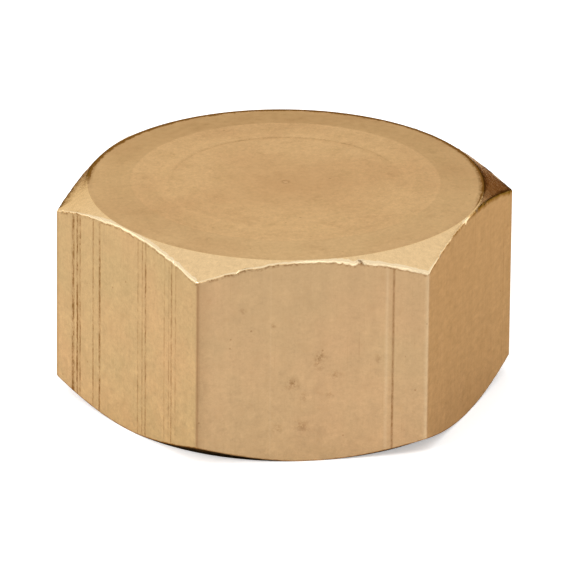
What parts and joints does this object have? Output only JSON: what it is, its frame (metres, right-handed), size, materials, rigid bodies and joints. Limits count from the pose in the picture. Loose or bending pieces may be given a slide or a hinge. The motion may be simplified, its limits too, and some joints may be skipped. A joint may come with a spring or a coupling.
{
  "type": "pipe cap",
  "caption": "Hexagonal brass pipe cap with chamfered ends, a blind threaded bore and a captive flat sealing washer.",
  "frame": {"origin": "centre of the open end's face, on the thread's axis", "axes": "+Z along the thread's axis towards the closed end, two corners of the hexagon on X, two flats square to Y"},
  "size_m": [0.0346, 0.03, 0.0164],
  "materials": {
    "brass": "drawn and turned, unpolished",
    "washer_rubber": "matt, moulded"
  },
  "bodies": {
    "root": {"cap_body": "brass", "sealing_washer": "washer_rubber"}
  },
  "joints": []
}
